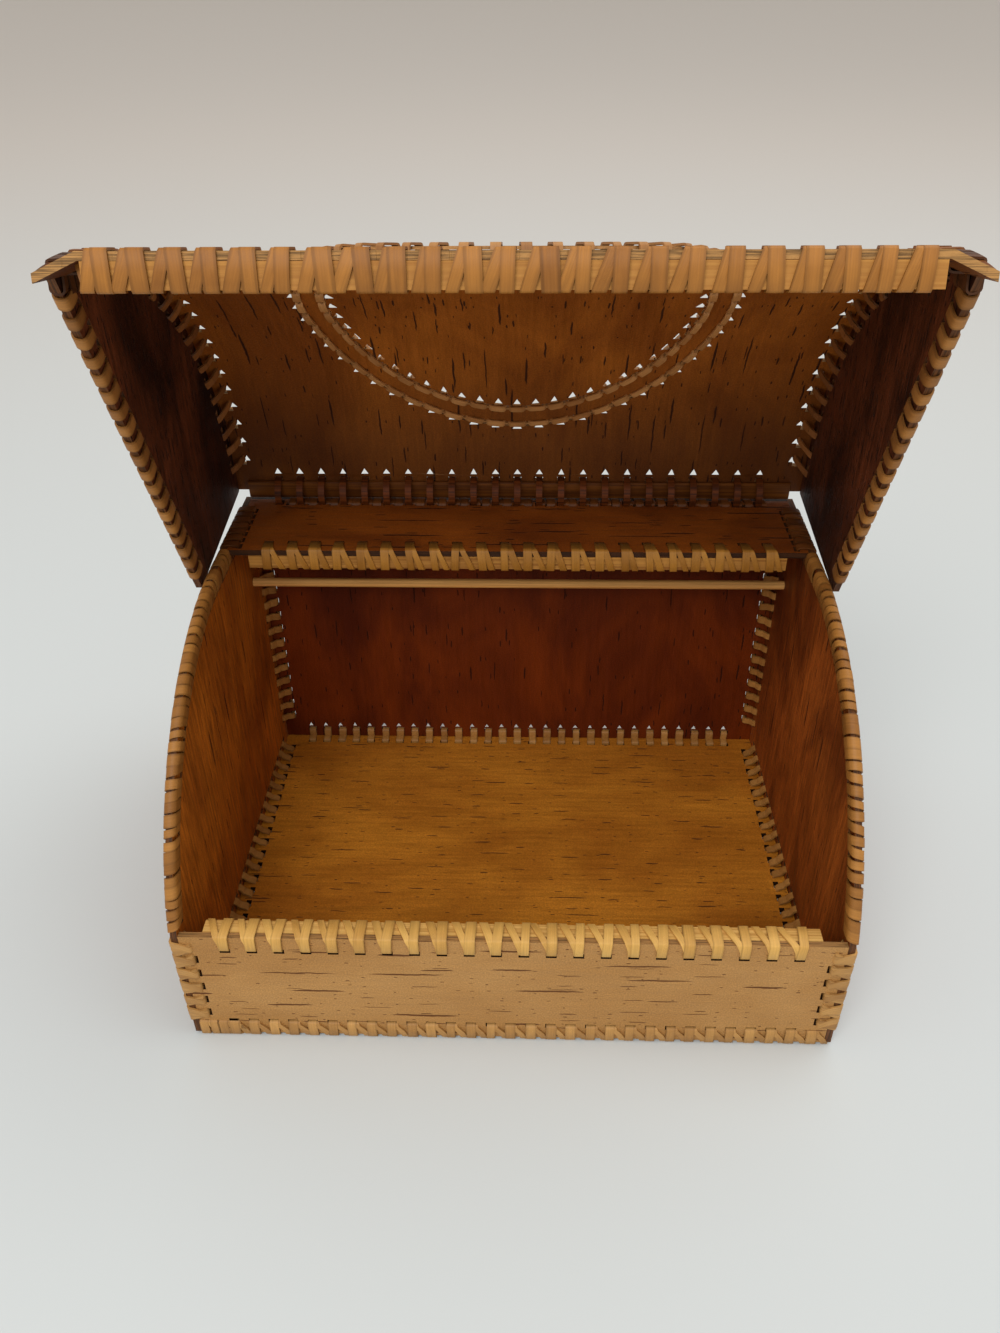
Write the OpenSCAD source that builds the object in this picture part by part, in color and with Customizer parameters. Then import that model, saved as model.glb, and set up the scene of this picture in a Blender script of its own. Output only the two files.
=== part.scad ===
// Sewn birch bark box with a curved lid.
// Every wall is a stiff sheet of bark, the sheets meet at laced seams, and split-wood laths
// stiffen the free edges. The lid turns on strap loops along the rear edge and is drawn open.
// X runs from left to right, Y from front to back and Z up. The origin lies on the ground under the
// middle of the whole box, which reaches from the straps in front to the hinge loops at the back.

/* [Base] */
// Width of the base over the two side walls
body_w = 300; // [240:5:360]
// Depth of the base from the front wall to the back wall
body_d = 223; // [205:1:245]
// Height of the side walls and of the shelf's upper face
side_h = 171; // [160:1:190]
// Height of the low front wall
front_h = 68; // [50:1:85]
// Radius of the curved front edge of a side wall
curve_r = 148; // [140:1:158]
// Depth of the fixed shelf at the back of the top
shelf_d = 60; // [45:1:70]

/* [Bark, laths and rod] */
// Thickness of the bark sheets
bark_t = 3; // [2:0.1:4]
// Thickness of the split-wood laths
lath_t = 3; // [2:0.1:4]
// Width of the lath along the front wall
rim_lath_w = 7; // [5:0.5:9]
// Distance from a side wall's outer face to the end of the front wall's lath
rim_lath_inset = 13.5; // [12:0.5:25]
// Width of the lath under the shelf edge
shelf_lath_w = 7; // [5:0.5:9]
// Width of the lath at the lid's front edge
lid_lath_w = 9; // [7:0.5:11]
// Distance from a cheek's inner face to the end of the lid's front lath
lid_lath_inset = 13.5; // [12:0.5:25]
// Width of the lath at the hinge
hinge_lath_w = 6; // [4:0.5:8]
// Diameter of the cross rod
rod_d = 5; // [4:0.5:8]
// Height of the cross rod's centre above the ground
rod_z = 130; // [110:1:145]
// Distance from the back wall's outer face to the cross rod's centre
rod_back = 23; // [15:1:40]

/* [Lid] */
// Inner radius of the curved lid sheet
lid_r = 174; // [168:1:180]
// Length of the flat stretch along the lid's front edge
lid_flat = 50; // [40:1:58]
// Angle by which the lid stands open, from closed
lid_open = 66; // [40:1:100]
// Free space between a side wall and the cheek beside it
cheek_gap = 3; // [2.8:0.1:5]
// Distance by which the closed lid's front edge lies in front of the front wall
lid_lap = 6.5; // [5:0.1:9]
// Height of the closed lid's front edge above the front wall's upper edge
lid_lift = 13.3; // [12:0.1:18]
// Height of the hinge axis above the shelf
hinge_rise = 4.4; // [4.2:0.1:7]
// Height of the cheek's lower rear corner when the lid is closed
cheek_tip_z = 92; // [84:1:105]
// Distance from that corner to the hinge axis, measured along Y
cheek_tip_back = 27; // [18:1:40]
// Distance along the sheet from the lid's front edge to the cheeks
cheek_setback = 10; // [9:0.5:14]
// Distance along the lid from the hinge to the ring's middle
ring_place = 139; // [125:1:145]
// Radius of the ring of bark on the lid, to the middle of its band
ring_r = 90; // [80:1:96]
// Width of the ring's band
ring_band_w = 6.4; // [4:0.2:10]
// Thickness of the ring's band
ring_band_t = 1.2; // [0.8:0.1:2]

/* [Lacing] */
// Width of a lacing strap
strap_w = 4; // [3:0.1:4.2]
// Thickness of a lacing strap
strap_t = 1; // [0.8:0.1:1.2]
// Width of a strap in the hinge and in the lid's ring
narrow_w = 3.4; // [2.4:0.1:3.6]
// Distance from a sheet's edge to its lacing holes
hole_in = 7.5; // [6:0.5:9]
// Pitch of the straps along the seams of the base
seam_pitch = 9.3; // [9:0.1:12]
// Pitch of the straps along the stiffened edges
rim_pitch = 12.1; // [11:0.1:14]
// Pitch of the whipping over the side walls' curved edges
whip_pitch = 5.2; // [5:0.1:8]
// Pitch of the straps in the lid's seams and in the hinge
lid_pitch = 11.8; // [11:0.1:14]
// Number of straps round the lid's ring
ring_count = 54; // [36:2:60]

/* [Hidden] */
$fn = 96;
strap_gap = 0.15;          // between a strap and the sheet it lies on
seam_gap = 0.15;           // between two sheets that meet at a seam
hole_play = 0.4;           // free space round a strap in its hole
hole_light = 1;            // further free space behind the strap, where light shows through
hinge_edge = 0.8;          // from the hinge axis to the lid sheet's rear edge
hinge_space = 0.4;         // between the hinge loops and the lath inside them
corner_clear = 13;         // length at each end of a seam that has no straps
stack = strap_gap + strap_t;   // how far a strap stands off its sheet
floor_z = stack;           // the floor's underside: the bottom straps carry the box

// The hinge loops: circles round the hinge axis that clear the lath inside them
loop_r = norm([hinge_edge + hinge_lath_w, strap_gap + lath_t]) + hinge_space;
loop_out = loop_r + strap_t - bark_t/2;    // how far the loops stand out behind the back wall
front_y = -(body_d + loop_out - stack)/2;
back_y = front_y + body_d;
in_x = body_w/2 - bark_t;  // inner face of a side wall
wall_x = in_x - seam_gap;  // end of a sheet that fits between the side walls

// The curved edge: an arc that meets the upper edge smoothly and the front edge at front_h
curve_z = side_h - curve_r;
curve_y = front_y + sqrt(curve_r*curve_r - pow(front_h - curve_z, 2));
curve_a0 = 180 - asin((front_h - curve_z)/curve_r);
shelf_y = back_y - shelf_d;

// The hinge axis and the closed lid's section: an arc that starts on the axis, then a flat stretch
// that runs on from it to the front edge
hinge_y = back_y - bark_t/2;
hinge_z = side_h + hinge_rise;
lid_front_y = front_y - lid_lap;
lid_front_z = front_h + lid_lift;
chord = norm([hinge_y - lid_front_y, hinge_z - lid_front_z]);
chord_a = atan2(hinge_z - lid_front_z, hinge_y - lid_front_y);
chord_part = (chord*chord - lid_flat*lid_flat)/(2*chord);
arc_depth = sqrt(lid_r*lid_r - chord_part*chord_part);
lid_y = hinge_y - chord_part*cos(chord_a) + arc_depth*sin(chord_a);
lid_z = hinge_z - chord_part*sin(chord_a) - arc_depth*cos(chord_a);
deg_per_mm = 180/PI/lid_r;
lid_a0 = atan2(hinge_z - lid_z, hinge_y - lid_y);    // at the hinge, measured up from +Y
lid_a1 = atan2(lid_front_z - lid_z, lid_front_y - lid_y) - atan2(lid_flat, lid_r);   // end of the arc
arc_l = (lid_a1 - lid_a0)/deg_per_mm;
lid_l = arc_l + lid_flat;            // from the hinge to the front edge, along the sheet
cheek_a = lid_a1 + (lid_flat - cheek_setback)*deg_per_mm;    // front corner of a cheek
lid_x = body_w/2 + cheek_gap;        // inner face of a cheek
lid_edge_x = lid_x + bark_t;         // side edge of the lid sheet
cheek_tip_y = hinge_y - cheek_tip_back;
fold_x = lid_x - lid_lath_inset + 0.5;    // outside it the sheet's front corners bend down

hinge_count = 2*floor((lid_x - corner_clear)/lid_pitch) + 1;
ring_hole = ring_band_w/2 + 1.8;     // from the band's middle to each circle of holes

bark = "#b9793a";
bark_dark = "#7a4522";
strap_colour = "#d2a05e";
lath_colour = "#d9b27a";

// ---------- straps and their holes ----------
// A strap's own frame: X along the seam, Y into the first sheet, Z into the second sheet,
// with the outer corner of the two sheets at the origin.

// An L-shaped outline round two sheets that meet at a corner, standing off them by d
function corner_outline(a, ta, b, tb, d) = [
    [-d, -d], [a + d, -d], [a + d, ta + d], [tb + d, ta + d], [tb + d, b + d], [-d, b + d]];

// Draws a section in YZ and gives it a width along X
module across(w) {
    rotate([90, 0, 90]) linear_extrude(height = w, center = true) children();
}

// A strap round a corner seam: a and b reach to the holes, ta and tb are the sheets' thicknesses
module corner_strap(a = hole_in, ta = bark_t, b = hole_in, tb = bark_t, w = strap_w) {
    across(w) difference() {
        polygon(corner_outline(a, ta, b, tb, stack));
        polygon(corner_outline(a, ta, b, tb, strap_gap));
    }
}

// A strap round the edge of one sheet, which lies along Y from the origin
module edge_strap(a = hole_in, t = bark_t, w = strap_w) {
    across(w) difference() {
        translate([-stack, -stack]) square([a + 2*stack, t + 2*stack]);
        translate([-strap_gap, -strap_gap]) square([a + 2*strap_gap, t + 2*strap_gap]);
    }
}

// The hole for a strap at distance a from the edge, through a sheet that lies along Y
module hole_y(a = hole_in, t = bark_t, w = strap_w) {
    hole_w = w + 2*hole_play;
    translate([-hole_w/2, a + strap_gap - hole_play, -1])
        cube([hole_w, strap_t + 2*hole_play + hole_light, t + 2]);
}

// The same through a sheet that lies along Z
module hole_z(b = hole_in, t = bark_t, w = strap_w) {
    mirror([0, 1, 0]) rotate([90, 0, 0]) hole_y(b, t, w);
}

// ---------- places along the seams ----------

// Copies along X, centred, over a length at a pitch
module row(length, pitch) {
    n = floor(length/pitch);
    for (i = [0 : n - 1]) translate([(i - (n - 1)/2)*pitch, 0, 0]) children();
}

module left() { mirror([1, 0, 0]) children(); }

// Bottom seams: Y into the floor, Z up the wall
module along_floor_front() {
    translate([0, front_y, floor_z]) row(body_w - 2*corner_clear, seam_pitch) children();
}
module along_floor_back() {
    translate([0, back_y, floor_z]) mirror([0, 1, 0])
        row(body_w - 2*corner_clear, seam_pitch) children();
}
module along_floor_side() {
    translate([body_w/2, 0, floor_z]) rotate([0, 0, 90])
        row(body_d - 2*corner_clear, seam_pitch) children();
}

// Upright seams: Y into the side wall, Z into the front or back wall
module along_front_corner() {
    length = front_h - floor_z - corner_clear;
    translate([body_w/2, front_y, floor_z + corner_clear/2 + length/2]) rotate([0, -90, 0])
        row(length, seam_pitch) children();
}
module along_back_corner() {
    length = side_h - floor_z - 2*corner_clear;
    translate([body_w/2, back_y, floor_z + corner_clear + length/2]) mirror([0, 1, 0])
        rotate([0, -90, 0]) row(length, seam_pitch) children();
}

// Edges stiffened by a lath: Y along the lath's width, Z into the sheet
module along_front_rim() {
    translate([0, front_y, front_h]) mirror([0, 0, 1])
        row(2*(body_w/2 - rim_lath_inset), rim_pitch) children();
}
module along_shelf_front() {
    translate([0, shelf_y, side_h]) rotate([90, 0, 0]) mirror([0, 1, 0]) mirror([0, 0, 1])
        row(2*(body_w/2 - rim_lath_inset), rim_pitch) children();
}

// Seams of the shelf: Y into the shelf, Z down the wall
module along_shelf_side() {
    length = shelf_d - corner_clear;
    translate([body_w/2, shelf_y + length/2, side_h]) mirror([0, 0, 1]) rotate([0, 0, 90])
        row(length, seam_pitch*0.7) children();
}
module along_shelf_back() {
    translate([0, back_y, side_h]) mirror([0, 0, 1]) mirror([0, 1, 0])
        row((hinge_count - 1)*lid_pitch, lid_pitch) children();
}

// The curved edge and the flat stretch behind it: Y into the side wall, Z across its thickness
module along_curved_edge() {
    arc = (curve_a0 - 90)*PI/180*curve_r;
    n = floor((arc - strap_w)/whip_pitch);
    for (i = [0 : n - 1])
        translate([body_w/2, curve_y, curve_z])
            rotate([curve_a0 - (i + 0.9)*(curve_a0 - 90)/n, 0, 0])
                translate([0, curve_r, 0]) rotate([0, 0, 180]) rotate([0, 90, 0]) children();
    flat = shelf_y - curve_y;
    if (flat > 2*whip_pitch)
        translate([body_w/2, curve_y + flat/2 + whip_pitch/2, side_h]) rotate([90, 0, 90])
            mirror([0, 1, 0]) mirror([0, 0, 1]) row(flat - whip_pitch, whip_pitch) children();
}

// ---------- the lid, drawn closed and then turned open ----------

module on_lid() {
    translate([0, hinge_y, hinge_z]) rotate([-lid_open, 0, 0])
        translate([0, -hinge_y, -hinge_z]) children();
}

// A place on the lid's arc, at distance s from the hinge: X across, Y towards the hinge, Z outward
module at_arc(s) {
    translate([0, lid_y, lid_z]) rotate([lid_a0 + s*deg_per_mm - 90, 0, 0])
        translate([0, 0, lid_r]) children();
}

// The same on the lid sheet's inner face, which leaves the arc where the flat stretch starts
module at_lid(s) {
    at_arc(min(s, arc_l)) translate([0, min(0, arc_l - s), 0]) children();
}

// A sector of the lid's section between two radii and two angles, given a width along X
module lid_sector(r0, r1, a0, a1, w) {
    translate([0, lid_y, lid_z]) rotate([90, 0, 90]) linear_extrude(height = w, center = true)
        intersection() {
            difference() {
                circle(r = r1, $fn = 180);
                if (r0 > 0) circle(r = r0, $fn = 180);
            }
            polygon(concat([[0, 0]], [for (i = [0 : 4])
                1.2*r1*[cos(a0 + (a1 - a0)*i/4), sin(a0 + (a1 - a0)*i/4)]]));
        }
}

// Cheek seams: Y into the lid sheet, Z into the cheek
module along_cheek_seam() {
    n = floor((arc_l + 0.4*lid_flat - corner_clear)/lid_pitch);
    for (i = [0 : n - 1]) at_arc(corner_clear + (i + 0.5)*lid_pitch)
        translate([lid_edge_x, 0, bark_t]) mirror([0, 0, 1]) rotate([0, 0, 90]) children();
}

// Front edge of the lid: Y along the lath's width, Z into the lid sheet
module along_lid_front() {
    at_lid(lid_l) translate([0, 0, bark_t]) rotate([-90, 0, 0])
        row(2*(lid_x - lid_lath_inset), rim_pitch) children();
}

// Free edge of a cheek, from its rear corner to its front corner
cheek_front_y = lid_y + lid_r*cos(cheek_a);
cheek_front_z = lid_z + lid_r*sin(cheek_a);
cheek_edge_l = norm([cheek_tip_y - cheek_front_y, cheek_tip_z - cheek_front_z]);
cheek_edge_a = atan2(cheek_tip_z - cheek_front_z, cheek_tip_y - cheek_front_y);
module along_cheek_edge() {
    translate([lid_x + bark_t, cheek_front_y, cheek_front_z]) rotate([cheek_edge_a, 0, 0])
        translate([0, cheek_edge_l/2, 0]) rotate([90, 0, 90])
            mirror([0, 0, 1]) row(cheek_edge_l - corner_clear, seam_pitch) children();
}

// A place on the ring, at unrolled radius r and angle f: X outward from the ring's centre
module at_ring(r, f) {
    at_lid(ring_place + r*sin(f)) translate([r*cos(f), 0, 0]) rotate([0, 0, -f]) children();
}

module hinge_row() {
    for (i = [0 : hinge_count - 1])
        translate([(i - (hinge_count - 1)/2)*lid_pitch, 0, 0]) children();
}

// ---------- base: sheets ----------

module floor_panel() {
    color(bark) difference() {
        translate([-wall_x, front_y + bark_t + seam_gap, floor_z])
            cube([2*wall_x, body_d - 2*(bark_t + seam_gap), bark_t]);
        along_floor_front() hole_y();
        along_floor_back() hole_y();
        along_floor_side() hole_y();
        left() along_floor_side() hole_y();
    }
}

module front_panel() {
    color(bark) difference() {
        translate([-wall_x, front_y, floor_z]) cube([2*wall_x, bark_t, front_h - floor_z]);
        along_floor_front() hole_z();
        along_front_rim() hole_z();
        along_front_corner() hole_z();
        left() along_front_corner() hole_z();
    }
}

module back_panel() {
    loop_hole = strap_t + 2*hole_play;
    color(bark_dark) difference() {
        translate([-wall_x, back_y - bark_t, floor_z]) cube([2*wall_x, bark_t, side_h - floor_z]);
        along_floor_back() hole_z();
        along_back_corner() hole_z();
        left() along_back_corner() hole_z();
        along_shelf_back() hole_z();
        translate([0, hinge_y, hinge_z]) hinge_row()
            translate([-narrow_w/2 - hole_play, -bark_t/2 - 1, -loop_r - strap_t - hole_play])
                cube([narrow_w + 2*hole_play, bark_t + 2, loop_hole]);
    }
}

module side_panel() {
    difference() {
        translate([in_x, 0, 0]) rotate([90, 0, 90]) linear_extrude(height = bark_t)
            intersection() {
                translate([front_y, floor_z]) square([body_d, side_h - floor_z]);
                union() {
                    translate([curve_y, curve_z]) circle(r = curve_r, $fn = 180);
                    translate([curve_y, floor_z]) square([back_y - curve_y, side_h]);
                }
            }
        along_floor_side() hole_z();
        along_front_corner() hole_y();
        along_back_corner() hole_y();
        along_shelf_side() hole_z();
        along_curved_edge() hole_y();
    }
}

module right_side_panel() { color(bark) side_panel(); }
module left_side_panel() { color(bark) left() side_panel(); }

module shelf_panel() {
    drop = [hinge_rise, hinge_rise + bark_t];
    near = sqrt(pow(loop_r, 2) - pow(drop[1], 2)) - hole_play;
    far = sqrt(pow(loop_r + strap_t, 2) - pow(drop[0], 2)) + hole_play;
    color(bark_dark) difference() {
        translate([-wall_x, shelf_y, side_h - bark_t])
            cube([2*wall_x, shelf_d - bark_t - seam_gap, bark_t]);
        along_shelf_front() hole_z();
        along_shelf_side() hole_y();
        left() along_shelf_side() hole_y();
        along_shelf_back() hole_y();
        hinge_row() translate([-narrow_w/2 - hole_play, hinge_y - far, side_h - bark_t - 1])
            cube([narrow_w + 2*hole_play, far - near, bark_t + 2]);
    }
}

// ---------- base: laths and rod ----------

module front_rim_lath() {
    half = body_w/2 - rim_lath_inset;
    color(lath_colour) translate([-half, front_y + bark_t + seam_gap, front_h - lath_t])
        cube([2*half, rim_lath_w, lath_t]);
}

module shelf_front_lath() {
    half = body_w/2 - rim_lath_inset;
    color(lath_colour) translate([-half, shelf_y, side_h - bark_t - seam_gap - shelf_lath_w])
        cube([2*half, lath_t, shelf_lath_w]);
}

module cross_rod() {
    color(lath_colour) translate([-wall_x, back_y - rod_back, rod_z]) rotate([0, 90, 0])
        cylinder(d = rod_d, h = 2*wall_x, $fn = 48);
}

// ---------- base: lacing ----------

module front_rim_lacing() {
    color(strap_colour) along_front_rim() corner_strap(a = bark_t + seam_gap + rim_lath_w, ta = lath_t);
}
module shelf_front_lacing() {
    color(strap_colour) along_shelf_front() corner_strap(a = bark_t + seam_gap + shelf_lath_w, ta = lath_t);
}
module floor_front_lacing() { color(strap_colour) along_floor_front() corner_strap(); }
module floor_back_lacing() { color(strap_colour) along_floor_back() corner_strap(); }
module floor_right_lacing() { color(strap_colour) along_floor_side() corner_strap(); }
module floor_left_lacing() { color(strap_colour) left() along_floor_side() corner_strap(); }
module front_right_corner_lacing() { color(strap_colour) along_front_corner() corner_strap(); }
module front_left_corner_lacing() { color(strap_colour) left() along_front_corner() corner_strap(); }
module back_right_corner_lacing() { color(strap_colour) along_back_corner() corner_strap(); }
module back_left_corner_lacing() { color(strap_colour) left() along_back_corner() corner_strap(); }
module right_edge_lacing() { color(strap_colour) along_curved_edge() edge_strap(); }
module left_edge_lacing() { color(strap_colour) left() along_curved_edge() edge_strap(); }
module shelf_right_lacing() { color(strap_colour) along_shelf_side() corner_strap(); }
module shelf_left_lacing() { color(strap_colour) left() along_shelf_side() corner_strap(); }
module shelf_back_lacing() { color(strap_colour) along_shelf_back() corner_strap(); }

module hinge_loops() {
    color(strap_colour) translate([0, hinge_y, hinge_z]) hinge_row()
        rotate([0, 90, 0]) difference() {
            cylinder(r = loop_r + strap_t, h = narrow_w, center = true, $fn = 64);
            cylinder(r = loop_r, h = narrow_w + 2, center = true, $fn = 64);
        }
}

// ---------- lid: sheets ----------

// The front corner beside the flat stretch. Its inner part slopes down from the fold and meets the
// outer part, which stays on the arc over the cheek, along a diagonal
drop_y = lid_r*sin(lid_flat*deg_per_mm);
drop_z = lid_r*(1 - cos(lid_flat*deg_per_mm));
module drooping_corner() {
    end_x = lid_edge_x - 0.1;
    end_y = 0.1 - lid_flat;
    inner = [[fold_x - 0.5, -1.3], [fold_x + 0.3, -1.3], [end_x, -drop_y], [end_x, end_y], [fold_x - 0.5, end_y]];
    intersection() {
        at_arc(arc_l) translate([0, 0, -2*drop_z]) linear_extrude(height = 2*drop_z + bark_t) polygon(inner);
        at_arc(arc_l) translate([fold_x, 0, 0.06]) rotate([0, atan2(drop_z, lid_edge_x - fold_x), 0])
            translate([-2, -1.2*lid_flat, 0]) cube([lid_edge_x, 1.2*lid_flat, bark_t - 0.04]);
    }
}

// The part of the arc's front that the flat stretch and the sloping corners take the place of
module flat_front() {
    at_arc(arc_l) translate([0, 0, -3*drop_z]) linear_extrude(height = 6*drop_z)
        polygon([[1 - fold_x, 0], [fold_x - 1, 0], [fold_x - 0.3, -1.7], [lid_edge_x - 0.8, -drop_y],
            [lid_edge_x - 0.8, -2*lid_flat], [0.8 - lid_edge_x, -2*lid_flat], [0.8 - lid_edge_x, -drop_y],
            [0.3 - fold_x, -1.7]]);
}

module lid_sheet() {
    near = sqrt(pow(loop_r, 2) - pow(bark_t, 2)) - hole_play;
    far = loop_r + strap_t + hole_play;
    color(bark_dark) on_lid() difference() {
        union() {
            difference() {
                lid_sector(lid_r, lid_r + bark_t, lid_a0 + hinge_edge*deg_per_mm,
                    lid_a1 + (lid_flat - 2)*deg_per_mm, 2*lid_edge_x);
                flat_front();
            }
            at_arc(arc_l) translate([-fold_x, -lid_flat, 0.02]) cube([2*fold_x, lid_flat + 2, bark_t - 0.05]);
            drooping_corner();
            left() drooping_corner();
        }
        along_cheek_seam() hole_y();
        left() along_cheek_seam() hole_y();
        along_lid_front() hole_z();
        at_lid((near + far)/2) hinge_row()
            translate([0, 0, bark_t/2]) cube([narrow_w + 2*hole_play, far - near, bark_t + 2], center = true);
        for (i = [0 : ring_count - 1], side = [-1, 1])
            at_ring(ring_r + side*(ring_hole + hole_light/2), 360*i/ring_count)
                translate([0, 0, bark_t/2])
                    cube([strap_t + 2*hole_play + hole_light, narrow_w + 2*hole_play, bark_t + 2], center = true);
    }
}

module cheek() {
    reach = lid_r - seam_gap;
    difference() {
        intersection() {
            translate([lid_x + bark_t/2, 0, 0])
                lid_sector(0, reach, lid_a0 - 20, cheek_a, bark_t);
            translate([lid_x - 1, 0, 0]) rotate([90, 0, 90]) linear_extrude(height = bark_t + 2)
                polygon([[cheek_front_y, cheek_front_z], [cheek_tip_y, cheek_tip_z],
                    [hinge_y, hinge_z - 0.01], [hinge_y + 40, hinge_z + 80], [cheek_front_y - 40, hinge_z + 80],
                    [cheek_front_y - 40, cheek_front_z]]);
        }
        along_cheek_seam() hole_z();
        along_cheek_edge() hole_y();
    }
}

module right_cheek() { color(bark_dark) on_lid() cheek(); }
module left_cheek() { color(bark_dark) on_lid() left() cheek(); }

// The ring's outline on the unrolled sheet, projected onto the plane that touches the sheet at its middle
ring_arc = arc_l - ring_place;
function along_bend(q) = (lid_r + bark_t)*sin(min(q, ring_arc)*deg_per_mm)
    + max(0, q - ring_arc)*cos(ring_arc*deg_per_mm);
function ring_outline(r) = [for (i = [0 : 71]) [r*cos(5*i), -along_bend(r*sin(5*i))]];

module ring_band() {
    off = bark_t + strap_gap;
    color(bark) on_lid() intersection() {
        union() {
            lid_sector(lid_r + off, lid_r + off + ring_band_t, lid_a0, lid_a1, 3*ring_r);
            at_arc(arc_l) translate([-1.5*ring_r, -lid_flat, off])
                cube([3*ring_r, lid_flat + bark_t, ring_band_t]);
        }
        at_lid(ring_place) translate([0, 0, -lid_r/2]) linear_extrude(height = lid_r)
            difference() {
                polygon(ring_outline(ring_r + ring_band_w/2));
                polygon(ring_outline(ring_r - ring_band_w/2));
            }
    }
}

// ---------- lid: laths ----------

module lid_front_lath() {
    half = lid_x - lid_lath_inset;
    color(lath_colour) on_lid() at_lid(lid_l)
        translate([-half, 0, -seam_gap - lid_lath_w]) cube([2*half, lath_t, lid_lath_w]);
}

module lid_back_lath() {
    half = lid_x - 2*bark_t;
    color(lath_colour) on_lid() at_lid(0)
        translate([-half, -hinge_edge - hinge_lath_w, -strap_gap - lath_t]) cube([2*half, hinge_lath_w, lath_t]);
}

// ---------- lid: lacing ----------

module lid_front_lacing() {
    color(strap_colour) on_lid() along_lid_front()
        corner_strap(a = bark_t + seam_gap + lid_lath_w, ta = lath_t);
}
module right_seam_lacing() { color(strap_colour) on_lid() along_cheek_seam() corner_strap(); }
module left_seam_lacing() { color(strap_colour) on_lid() left() along_cheek_seam() corner_strap(); }
module right_cheek_lacing() { color(strap_colour) on_lid() along_cheek_edge() edge_strap(); }
module left_cheek_lacing() { color(strap_colour) on_lid() left() along_cheek_edge() edge_strap(); }

// Each strap of the ring crosses the band on the outside and goes down through both circles of holes
module ring_lacing() {
    top = bark_t + strap_gap + ring_band_t + strap_gap;
    color(strap_colour) on_lid() for (i = [0 : ring_count - 1])
        at_ring(ring_r, 360*i/ring_count) rotate([90, 0, 0])
            linear_extrude(height = narrow_w, center = true) difference() {
                translate([-ring_hole - strap_t/2, -stack]) square([2*ring_hole + strap_t, top + stack + strap_t]);
                translate([-ring_hole + strap_t/2, -stack - 1]) square([2*ring_hole - strap_t, top + stack + 1]);
            }
}

floor_panel();
front_panel();
back_panel();
left_side_panel();
right_side_panel();
shelf_panel();
front_rim_lath();
shelf_front_lath();
cross_rod();
front_rim_lacing();
shelf_front_lacing();
floor_front_lacing();
floor_back_lacing();
floor_left_lacing();
floor_right_lacing();
front_left_corner_lacing();
front_right_corner_lacing();
back_left_corner_lacing();
back_right_corner_lacing();
left_edge_lacing();
right_edge_lacing();
shelf_left_lacing();
shelf_right_lacing();
shelf_back_lacing();
hinge_loops();
lid_sheet();
left_cheek();
right_cheek();
lid_front_lath();
lid_back_lath();
lid_front_lacing();
left_seam_lacing();
right_seam_lacing();
left_cheek_lacing();
right_cheek_lacing();
ring_band();
ring_lacing();
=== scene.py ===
import math
import random

import bpy
from mathutils import Matrix, Vector


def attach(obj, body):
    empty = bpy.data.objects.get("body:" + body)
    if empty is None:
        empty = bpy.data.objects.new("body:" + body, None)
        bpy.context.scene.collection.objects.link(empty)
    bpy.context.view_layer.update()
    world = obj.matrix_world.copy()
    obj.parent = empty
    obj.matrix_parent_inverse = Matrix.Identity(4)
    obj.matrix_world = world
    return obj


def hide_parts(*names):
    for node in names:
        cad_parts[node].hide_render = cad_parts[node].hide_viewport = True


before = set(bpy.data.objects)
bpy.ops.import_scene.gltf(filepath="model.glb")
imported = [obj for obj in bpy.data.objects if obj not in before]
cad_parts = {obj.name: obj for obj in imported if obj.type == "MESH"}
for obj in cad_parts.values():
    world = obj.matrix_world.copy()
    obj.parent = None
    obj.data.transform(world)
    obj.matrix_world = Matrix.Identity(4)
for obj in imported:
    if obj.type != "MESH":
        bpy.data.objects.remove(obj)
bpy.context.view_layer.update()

# ---------- camera ----------
# The box is seen from in front and above, through the open lid, as a phone held over a table
# sees it. Places are in metres, in the frame of the construction.
scene = bpy.context.scene
scene.view_settings.view_transform = "Standard"
eye = Vector((0.007874, -0.428965, 0.440031))
eye_pitch, eye_yaw, eye_roll = 0.619015258, 0.0345810816, -0.0117742473
look = Vector((-math.sin(eye_yaw)*math.cos(eye_pitch), math.cos(eye_yaw)*math.cos(eye_pitch),
               -math.sin(eye_pitch)))
level = Vector((math.cos(eye_yaw), math.sin(eye_yaw), 0))
upright = level.cross(look)
side_axis = math.cos(eye_roll)*level + math.sin(eye_roll)*upright
up_axis = math.cos(eye_roll)*upright - math.sin(eye_roll)*level
lens = bpy.data.cameras.new("camera")
lens.sensor_fit = "VERTICAL"
lens.sensor_height = 36
lens.lens = 29.167
lens.clip_start = 0.01
camera = bpy.data.objects.new("camera", lens)
camera.matrix_world = Matrix((
    (side_axis.x, up_axis.x, -look.x, eye.x),
    (side_axis.y, up_axis.y, -look.y, eye.y),
    (side_axis.z, up_axis.z, -look.z, eye.z),
    (0, 0, 0, 1)))
scene.collection.objects.link(camera)
scene.camera = camera

# ---------- studio ----------
# A seamless pale sheet of paper runs under the box and curves up far behind it. Two large soft
# lamps hang in front of it and above, and an even pale room fills the shade.


def tint(red, green, blue):
    """A colour as it shows on a screen, 0 to 255, as the linear values that a shader takes."""
    return [((c/255 + 0.055)/1.055)**2.4 if c > 10 else c/255/12.92 for c in (red, green, blue)] + [1]


def clear_choice():
    """Leaves nothing selected, because an operator acts on all that is."""
    bpy.ops.object.select_all(action="DESELECT")


def piece_of(obj, name, body=None):
    """Names a finished piece, puts its place into its mesh and hands it to its body."""
    obj.name = obj.data.name = name
    clear_choice()
    obj.select_set(True)
    bpy.context.view_layer.objects.active = obj
    bpy.ops.object.transform_apply(location=True, rotation=True, scale=True)
    if body:
        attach(obj, body)


def skin_of(name, shine):
    """A new material, with its node tree and its shader."""
    made = bpy.data.materials.new(name)
    made.use_nodes = True
    shader = made.node_tree.nodes["Principled BSDF"]
    shader.inputs["Specular IOR Level"].default_value = shine
    return made, made.node_tree, shader


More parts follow.
